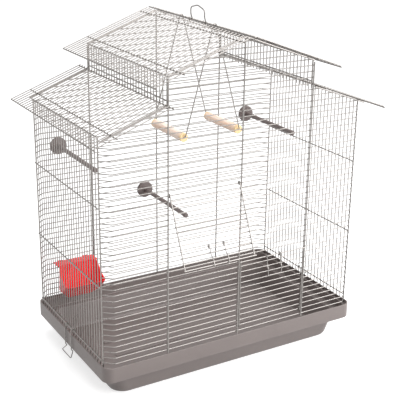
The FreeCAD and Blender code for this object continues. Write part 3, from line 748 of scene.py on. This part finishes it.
# %% Latches
LATCH_EYE, LATCH_HALF = 3.0, 16.5
LATCH = [(3, 18, LATCH_HALF), (8, 25, LATCH_HALF), (8, 40, LATCH_HALF)]
# The left latch hangs on this wire of its leaf, counted from the hinge
LATCH_WIRE = 9
latch = bail(LATCH_EYE, LATCH_HALF, LATCH)
left_latch = placed(latch, [0, -LEAF_SET, -LATCH_WIRE * PITCH])
piece("left_latch_bail", placed(left_latch, LEFT_HINGE, AJAR), "left_latch", "wire", "left_latch")
right_latch = placed(latch, RIGHT_HINGE + [0, -EDGE_SET, EDGE_HEIGHT])
piece("right_latch_bail", right_latch, "right_latch", "wire", "right_latch")

# %% Tray clips
CLIP_EYE, CLIP_HALF, LOOP_HALF = 3.2, 15.0, 23.0
CLIP = [(5.25, 11, CLIP_HALF), (5.25, 45, CLIP_HALF), (1.6, 48.5, CLIP_HALF), (10, 60, LOOP_HALF)]
clip = bail(CLIP_EYE, CLIP_HALF, CLIP)
for word, side in (("left", -1), ("right", 1)):
    quarter = np.array([[0, -side, 0], [side, 0, 0], [0, 0, 1]])
    hung = [side * (HALF_WIDTH + FINE / 2 + CROSS / 2), 0, SIDE_CROSS[0]]
    piece(f"{word}_clip_bail", placed(clip, hung, quarter),
          f"{word}_clip", "wire", f"{word}_clip")

# %% [markdown]
# ## Handle
#
# The cage is carried by a small pointed arch of wire with two eyes on the ridge bar, on which it
# falls to either side. A curve with a bevel could draw it. It is bent here by the helper for the
# bails, but in the plane along the ridge, so that its bends look like theirs.

# %% Carrying handle
HANDLE_WIRE, HANDLE_EYE, HANDLE_HALF, HANDLE_BEND = 2.5, 3.8, 27.0, 6.0
# Heights of the legs' foot, the shoulder and the point over the ridge
LEG, SHOULDER, POINT = 10.0, 24.0, 31.0
# The curl round the ridge bar in degrees, and a direction that no stretch of the wire runs along
CURL_FROM, CURL_POINTS, HANDLE_FACING = -260, 18, (1, 0.35, 0.2)
angle = np.radians(np.linspace(CURL_FROM, 0, CURL_POINTS))
curl = np.column_stack([HANDLE_EYE * np.cos(angle), np.full_like(angle, -HANDLE_HALF),
                        HANDLE_EYE * np.sin(angle)])
arch = np.array([[0, -HANDLE_HALF, LEG], [0, -HANDLE_HALF, SHOULDER], [0, 0, POINT],
                 [0, HANDLE_HALF, SHOULDER], [0, HANDLE_HALF, LEG]])
handle = tube(between_curls(curl, arch, MIRROR_Y, HANDLE_BEND), HANDLE_WIRE, HANDLE_FACING)
piece("carry_handle_wire", placed([handle], RIDGE * Z), "handle", "wire", "carry_handle")

# %% [markdown]
# ## Swing hangers
#
# The swing hangs from the ridge bar by two wires. Each is bent over the bar like a saddle, goes
# down to both sides in a straight line, and its feet are pushed into the bores of the wooden bars.
# The straight line touches the saddle's circle, and the lean of the legs comes from that.

# %% Hangers
HANGER_WIRE, HANGER_Y, SADDLE, FOOT_BEND = 2.4, 66.0, 3.8, 5.0
# Where the bars hang, and how far a foot goes into its bore
SWING_REACH, SWING_HEIGHT, FOOT_LENGTH = 64.0, 482.0, 16.0
SADDLE_POINTS, HANGER_FACING = 15, (0.3, 1, 0.2)
drop = RIDGE - SWING_HEIGHT
lean = math.atan2(SWING_REACH, drop) - math.asin(SADDLE / math.hypot(SWING_REACH, drop))
angle = np.linspace(-lean, math.pi + lean, SADDLE_POINTS)
saddle = np.column_stack([SADDLE * np.cos(angle), np.zeros_like(angle), SADDLE * np.sin(angle)])
for word, front in (("front", -1), ("back", 1)):
    leg = rounded([[SWING_REACH, -FOOT_LENGTH * front, -drop], [SWING_REACH, 0, -drop], saddle[0]],
                  FOOT_BEND)[:-1]
    hanger = tube(np.vstack([leg, saddle, (leg * MIRROR_X)[::-1]]), HANGER_WIRE, HANGER_FACING)
    piece(f"swing_hanger_{word}_wire", placed([hanger], [0, HANGER_Y * front, RIDGE]),
          "swing", "wire", f"swing_hanger_{word}")
print("the hangers lean by", round(math.degrees(lean), 1), "degrees")

# %% [markdown]
# ## Wooden bars
#
# The bars are turned on a lathe, so they are drawn as on one: a profile of (radius, distance) is
# turned about an axis along Y. A Screw modifier does the same to a curve, but here the profile's
# edges can be eased first by the helper that bends wires. The bores for the hangers are part of it.

# %% Lathe work
LATHE_SIDES = 40
BAR_RADIUS, BAR_EDGE = 9.2, 0.9
# Radius of the bore, of the flat at its bottom, and where that is along the bar
BORE, BORE_FLAT, BORE_BOTTOM = 1.5, 0.4, 48.0


def lathe(profile, bend, x, z, sides=LATHE_SIDES):
    """A profile of (radius, y) with eased edges, turned about the line along Y through x and z:
    (x + radius sin a, y, z + radius cos a)."""
    radius, along = rounded(profile, bend, EDGE_STEPS).T[:, :, None]
    angle = np.linspace(0, 2 * np.pi, sides, endpoint=False)
    points = np.stack(np.broadcast_arrays(
        x + radius * np.sin(angle), along, z + radius * np.cos(angle)), axis=-1)
    return surface(points, len(points), sides)


bar_end = np.array([(BAR_RADIUS, BAR_HALF), (BORE, BAR_HALF), (BORE, BORE_BOTTOM),
                    (BORE_FLAT, BORE_BOTTOM)])
bar = np.vstack([bar_end[::-1] * [1, -1], bar_end])
for word, side in (("left", -1), ("right", 1)):
    piece(f"swing_dowel_{word}_bar", [lathe(bar, BAR_EDGE, SWING_REACH * side, SWING_HEIGHT)],
          "swing", "wood", f"swing_dowel_{word}")

# %% [markdown]
# ## Perches and nuts
#
# A perch is one moulding: a stem with a thicker tip, a disc that rests against the wires and a
# screw that goes out between them into a nut. Both are round, so they come off the same lathe.
# The nut's profile comes back to its own start and makes a ring, which needs no caps.

# %% Perches
PERCH_EDGE, NUT_EDGE, NUT_SIDES = 2.2, 0.8, 12
PERCH = [
    (0.5, -22.5), (5.3, -22.5), (5.3, -13), (4.7, -8),  # the tip
    (4.7, 164.5), (18.5, 164.5), (18.5, 172.5),  # stem and disc
    (3.5, 172.5), (3.5, 184.5), (0.5, 184.5)]  # screw
NUT = [(3.7, 174.5), (12, 174.5), (12, 180.5), (3.7, 180.5), (3.7, 174.5)]
PERCH_PLACES = [("left", -239.4, 429), ("middle", -34.7, 297), ("right", 233.3, 441)]
for word, x, z in PERCH_PLACES:
    piece(f"perch_{word}_moulding", [lathe(PERCH, PERCH_EDGE, x, z)],
          "cage", "perch_plastic", f"perch_{word}")
    points, quads, caps = lathe(NUT, NUT_EDGE, x, z, NUT_SIDES)
    piece(f"perch_nut_{word}_moulding", [(points, quads)],
          "cage", "perch_plastic", f"perch_nut_{word}")

# %% [markdown]
# ## Tray
#
# The tray is one moulding: a tapered pan with a step round it, and a rim folded outwards and down
# with a seat in it where the wires stand. Boxes and booleans could cut it. A stack of rounded
# rectangles, listed from the middle of the underside round the rim to the middle of the floor,
# gives one closed skin with every edge eased.

# %% Stacks of rounded rectangles
CORNER_POINTS = 9


def loops(stations):
    """Rounded rectangles, one for each station (half x, half y, radius, z): quarter circles about
    the four corner centres."""
    half_x, half_y, radius, z = stations.T[:, :, None]
    quarter = np.linspace(0, np.pi / 2, CORNER_POINTS)
    angle = ((np.arange(4) * np.pi / 2)[:, None] + quarter).ravel()
    sign_x = np.repeat([1, -1, -1, 1], CORNER_POINTS)
    sign_y = np.repeat([1, 1, -1, -1], CORNER_POINTS)
    x = sign_x * (half_x - radius) + radius * np.cos(angle)
    y = sign_y * (half_y - radius) + radius * np.sin(angle)
    return np.stack([x, y, np.broadcast_to(z, x.shape)], axis=-1)


def stack(stations, bend):
    """One closed skin through the stations, with the turns between them eased by bend."""
    points = loops(rounded(stations, bend, EDGE_STEPS))
    return surface(points, *points.shape[:2])


print("each rectangle has", 4 * CORNER_POINTS, "points")

# %% [markdown]
# ## The tray's skin
#
# Each row below gives half the length, half the depth, the corner radius and the height, and the
# list of bends says how softly the skin turns at each row. Two low ribs, moulded with the floor,
# keep the bottom from bowing.

# %% Tray
TRAY = [
    (220, 110, 25, 0), (266, 149, 30, 0), (279.2, 160.3, 30, 52),  # underside and pan
    (293.5, 172, 20, 52), (293.5, 172, 20, 71), (297.5, 176, 20, 71),  # under the step and seat
    (297.5, 176, 20, 48), (300, 178.5, 20, 48), (300, 178.5, 20, 80),  # the rim's fold, outside
    (297.5, 176, 20, 80), (297.5, 176, 20, 74), (291, 169.5, 20, 74),  # top of the rim, seat
    (291, 169.5, 20, 55), (277, 158, 29, 55),  # the step
    (263.5, 146.4, 29, 3), (210, 100, 24, 3)]  # inside of the pan and floor
TRAY_BENDS = [9, 4, 1.5, 1, 1, 0.8, 1.2, 1.2, 1, 1, 1.5, 3, 3, 6]
RIB = [(199, 4.4, 2, 2.8), (200, 4.5, 2, 4.5), (196, 2, 1.5, 4.5)]
RIB_EDGE, RIB_PLACES = 1.0, (50, -11)
tray = [stack(TRAY, TRAY_BENDS)]
for y in RIB_PLACES:
    tray += placed([stack(RIB, RIB_EDGE)], [0, y, 0])
piece("tray_moulding", tray, "cage", "tray_plastic", "tray")

# %% [markdown]
# ## Feeder
#
# The feeder is a scoop with thin walls, hung on the back wires. Its mouth is cut by a cylinder, so
# the side walls sweep down to the lip in a curve. A boolean would leave a ragged edge. Here each
# column of the grid climbs a wall and stops where it meets the cylinder.

# %% Scoop from above
FEEDER_X, FEEDER_BACK = -214.0, 148.5
# Heights of the foot, of the end of the chamfer, of the lip and of the top
FOOT, CHAMFER, LIP, TOP = 87.0, 107.0, 128.0, 163.0
FOOT_DEPTH, LIP_DEPTH = 12.0, 50.0
# How square the scoop is from above: 1 is an ellipse, 0 a rectangle
SQUARENESS, COLUMNS = 0.22, 72


def scoop_plan():
    """A rounded rectangle: (sign c |c|^n, (1 - sign s |s|^n) / 2) with c and s on a circle, as
    the place across from -1 to 1 and the share of the depth from 0 to 1."""
    turn = np.linspace(0, 1, COLUMNS, endpoint=False) * 2 * np.pi
    c, s = np.cos(turn), np.sin(turn)
    across = np.sign(c) * np.abs(c) ** SQUARENESS
    return across, (1 - np.sign(s) * np.abs(s) ** SQUARENESS) / 2


def scoop_y(z, share, inset):
    """Place in Y at height z: the back less a share of the depth, which grows with height."""
    depth = FOOT_DEPTH + (LIP_DEPTH - FOOT_DEPTH) * (z - FOOT) / (LIP - FOOT) - inset
    return FEEDER_BACK - inset - share * (depth - inset)


print("the scoop is", FEEDER_BACK - scoop_y(LIP, 1, 0), "mm deep at the lip")

# %% Mouth
# The cylinder that cuts the mouth: its axis along X, and its radius
MOUTH_Y, MOUTH_Z, MOUTH_RADIUS = 90.0, 189.3, 62.0
MOUTH_STEPS = 40


def mouth_height(share):
    """Height where each column meets the mouth: axis - sqrt(radius^2 - distance^2), and as the
    wall leans, half the way there is taken again and again."""
    z = np.full_like(share, LIP)
    for _ in range(MOUTH_STEPS):
        off_axis = scoop_y(z, share, 0.0) - MOUTH_Y
        under = MOUTH_Z - np.sqrt(np.maximum(MOUTH_RADIUS ** 2 - off_axis ** 2, 0))
        z = z + 0.5 * (np.minimum(under, TOP) - z)
    return z


print("mouth at the back, side and lip", np.round(mouth_height(np.array([0, 0.5, 1])), 1), "mm")

# %% Scoop walls
FOOT_HALF, SCOOP_HALF = 30.0, 47.0
CHAMFER_RINGS, WALL_RINGS = 6, 9


def scoop_wall(foot, inset):
    """Points of one wall, from its foot up the chamfer and then to the mouth."""
    across, share = scoop_plan()
    top = mouth_height(share)
    climb = np.concatenate([np.linspace(0, 1, CHAMFER_RINGS, endpoint=False),
                            np.linspace(1, 2, WALL_RINGS)])[:, None]
    z = np.where(climb < 1, foot + (CHAMFER - foot) * climb,
                 CHAMFER + (top - CHAMFER) * (climb - 1))
    half = np.interp(z, [FOOT, CHAMFER, TOP], [FOOT_HALF, SCOOP_HALF, SCOOP_HALF]) - inset
    return np.stack([FEEDER_X + across * half, scoop_y(z, share, inset), z], axis=-1)


print("a wall of the scoop has", scoop_wall(FOOT, 0).shape[:2], "rings and columns")

# %% [markdown]
# ## The feeder's skin and hooks
#
# The outer wall, a rounded edge, the inner wall and the floor inside follow each other as one
# skin, so the scoop has a true thickness. A flange at the back carries two hooks that go over a
# wire. They are flat bars with eased edges, made as small stacks like the tray.

# %% Scoop
WALL, LIP_CROWN = 2.2, 0.4
# The middle of each floor is a cap of this share, and a ring near the edge rounds the corner
CAP_SHARE, UNDER_SHARE, INSIDE_SHARE = 0.4, 0.96, 0.95


def shrunk(ring, share):
    """A ring drawn in towards its own middle, at the same height."""
    middle = ring.mean(0)
    return middle + (ring - middle) * [share, share, 1]


outer, inner = scoop_wall(FOOT, 0.0), scoop_wall(FOOT + WALL, WALL)[::-1]
edge = (outer[-1] + inner[0]) / 2 + LIP_CROWN * Z
underside = [shrunk(outer[0], CAP_SHARE), shrunk(outer[0], UNDER_SHARE)]
inside = [shrunk(inner[-1], INSIDE_SHARE), shrunk(inner[-1], CAP_SHARE)]
rings = np.concatenate([underside, outer[1:], [edge], inner[:-1], inside])
scoop = surface(rings, len(rings), COLUMNS)
print("scoop", len(rings), "rings of", COLUMNS, "points")

# %% Hooks and feeder
HOOK_SIDE, HOOK_HALF = 30, 6
# Flange and hooks as the places in Y and the heights between which they lie
FLANGE, HOOK, BARB = (147.4, 172.5), (170.3, 177.1), (174.9, 177.1)
FLAT, HANGING = (160.2, 162.4), (148.4, 162.2)
STRIP_EDGE, STRIP_CORNER = 0.5, 0.5
# How far the flat ends of a strip are drawn in, and the radius of their corners
DRAWN_X, DRAWN_Y, DRAWN_CORNER = 1.0, 0.6, 0.3


def strip(x, half, depths, heights):
    """A flat bar between two places in Y and two heights: a small stack whose ends are drawn in a
    little before they are capped, so that every edge is eased."""
    deep = (depths[1] - depths[0]) / 2
    drawn_in = (half - DRAWN_X, deep - DRAWN_Y, DRAWN_CORNER)
    full = (half, deep, STRIP_CORNER)
    bar = stack([(*drawn_in, heights[0]), (*full, heights[0]),
                 (*full, heights[1]), (*drawn_in, heights[1])], STRIP_EDGE)
    return placed([bar], [x, sum(depths) / 2, 0])


feeder = [scoop] + strip(FEEDER_X, SCOOP_HALF, FLANGE, FLAT)
for x in (FEEDER_X - HOOK_SIDE, FEEDER_X + HOOK_SIDE):
    feeder += strip(x, HOOK_HALF, HOOK, FLAT) + strip(x, HOOK_HALF, BARB, HANGING)
piece("feeder_moulding", feeder, "cage", "feeder_plastic", "feeder")

# %% [markdown]
# ## Floor
#
# The cage stands on a pale board that runs off to a white studio. More lamp light would make the
# board white, and would bleach the cage as well. Instead, rays from the camera and from mirrors
# see the board brighter than it is, and the shadow under the tray stays.

# %% Floor board
FLOOR_HALF = 20.0
FLOOR_LIFT = 0.68
WHITE = linear("#FFFFFF")


def seen(owner):
    """One for rays from the camera, a mirror or glass, and zero for the rays that light things."""
    path = node(owner, "ShaderNodeLightPath")
    direct = node(owner, "ShaderNodeMath", {
        0: path.outputs["Is Camera Ray"], 1: path.outputs["Is Glossy Ray"]}, operation="ADD")
    either = node(owner, "ShaderNodeMath", {
        0: direct.outputs[0], 1: path.outputs["Is Transmission Ray"]},
        operation="ADD", use_clamp=True)
    return either.outputs[0]


# Painted board: quite matt, so that it takes a soft shadow and mirrors nothing
board, board_shader = finish("floor", "matt_painted_board", "#C4C4C4", Roughness=0.9)
board_shader.inputs["Emission Color"].default_value = WHITE
glow = node(board, "ShaderNodeMapRange", {"Value": seen(board)}, To_Min=0.0, To_Max=FLOOR_LIFT)
board.node_tree.links.new(glow.outputs["Result"], board_shader.inputs["Emission Strength"])
corners = FLOOR_HALF * np.array([[-1, -1, 0], [1, -1, 0], [1, 1, 0], [-1, 1, 0]])
floor_mesh = bpy.data.meshes.new("floor")
floor_mesh.from_pydata(corners.tolist(), [], [[0, 1, 2, 3]])
floor_mesh.materials.append(board)
floor = bpy.data.objects.new("floor", floor_mesh)
bpy.context.scene.collection.objects.link(floor)
print("floor", 2 * FLOOR_HALF, "m square")

# %% [markdown]
# ## Studio walls and lamps
#
# Soft light comes from everywhere in a white studio, so the world gives a dim glow, which the
# camera sees as plain white. Two large square lamps add direction: a key light at the right front
# and one overhead. Small lamps would give hard shadows of every wire.

# %% World
SKY = 0.55
world = bpy.data.worlds.new("studio")
world.use_nodes = True
bpy.context.scene.world = world
backdrop = world.node_tree.nodes["Background"]
backdrop.inputs["Color"].default_value = WHITE
level = node(world, "ShaderNodeMapRange", {"Value": seen(world)}, To_Min=SKY, To_Max=1.0)
world.node_tree.links.new(level.outputs["Result"], backdrop.inputs["Strength"])
print("the studio's walls give", SKY, "of the light that the camera sees")

# %% Lamps
# Places in metres
CAGE_MIDDLE = Vector((0, 0, 0.3))
KEY_PLACE, OVERHEAD_PLACE = (2.05, -2.55, 1.7), (0.2, -0.2, 3.2)


def soft_light(name, place, size, power):
    """A square area light that looks at the middle of the cage."""
    lamp = bpy.data.lights.new(name, "AREA")
    lamp.size, lamp.energy = size, power
    light = bpy.data.objects.new(name, lamp)
    bpy.context.scene.collection.objects.link(light)
    light.location = place
    light.rotation_euler = (CAGE_MIDDLE - Vector(place)).to_track_quat("-Z", "Y").to_euler()
    print(name, "light of", power, "W,", size, "m square")


soft_light("key", KEY_PLACE, size=2.6, power=142)
soft_light("overhead", OVERHEAD_PLACE, size=3.2, power=90)

# %% [markdown]
# ## Camera
#
# The cage is seen from its left front corner and a little above. Place, angles and lens were
# fitted to the crossings of the wires, which is more exact than turning a camera by hand. The
# three directions of the camera become the columns of its matrix.

# %% Camera
CAMERA_PLACE = np.array([-938.2, -1596.6, 999.3])
# Turn to the right, tip up and tilt to the side, in radians
YAW, TIP, ROLL = 0.5365, -0.3521, 0.0133
LENS, SENSOR, FAR = 83.16, 36, 100
forward = np.array([math.sin(YAW) * math.cos(TIP), math.cos(YAW) * math.cos(TIP), math.sin(TIP)])
level_right = np.array([math.cos(YAW), -math.sin(YAW), 0])
level_up = np.cross(level_right, forward)
right = math.cos(ROLL) * level_right + math.sin(ROLL) * level_up
upward = math.cos(ROLL) * level_up - math.sin(ROLL) * level_right
matrix = np.eye(4)
matrix[:3] = np.column_stack([right, upward, -forward, CAMERA_PLACE * MM])
lens = bpy.data.cameras.new("camera")
lens.lens, lens.sensor_width, lens.clip_end = LENS, SENSOR, FAR
camera = bpy.data.objects.new("camera", lens)
bpy.context.scene.collection.objects.link(camera)
camera.matrix_world = Matrix(matrix.tolist())
bpy.context.scene.camera = camera
bpy.context.scene.view_settings.view_transform = "Standard"
print("camera at", CAMERA_PLACE, "mm with a lens of", LENS, "mm")
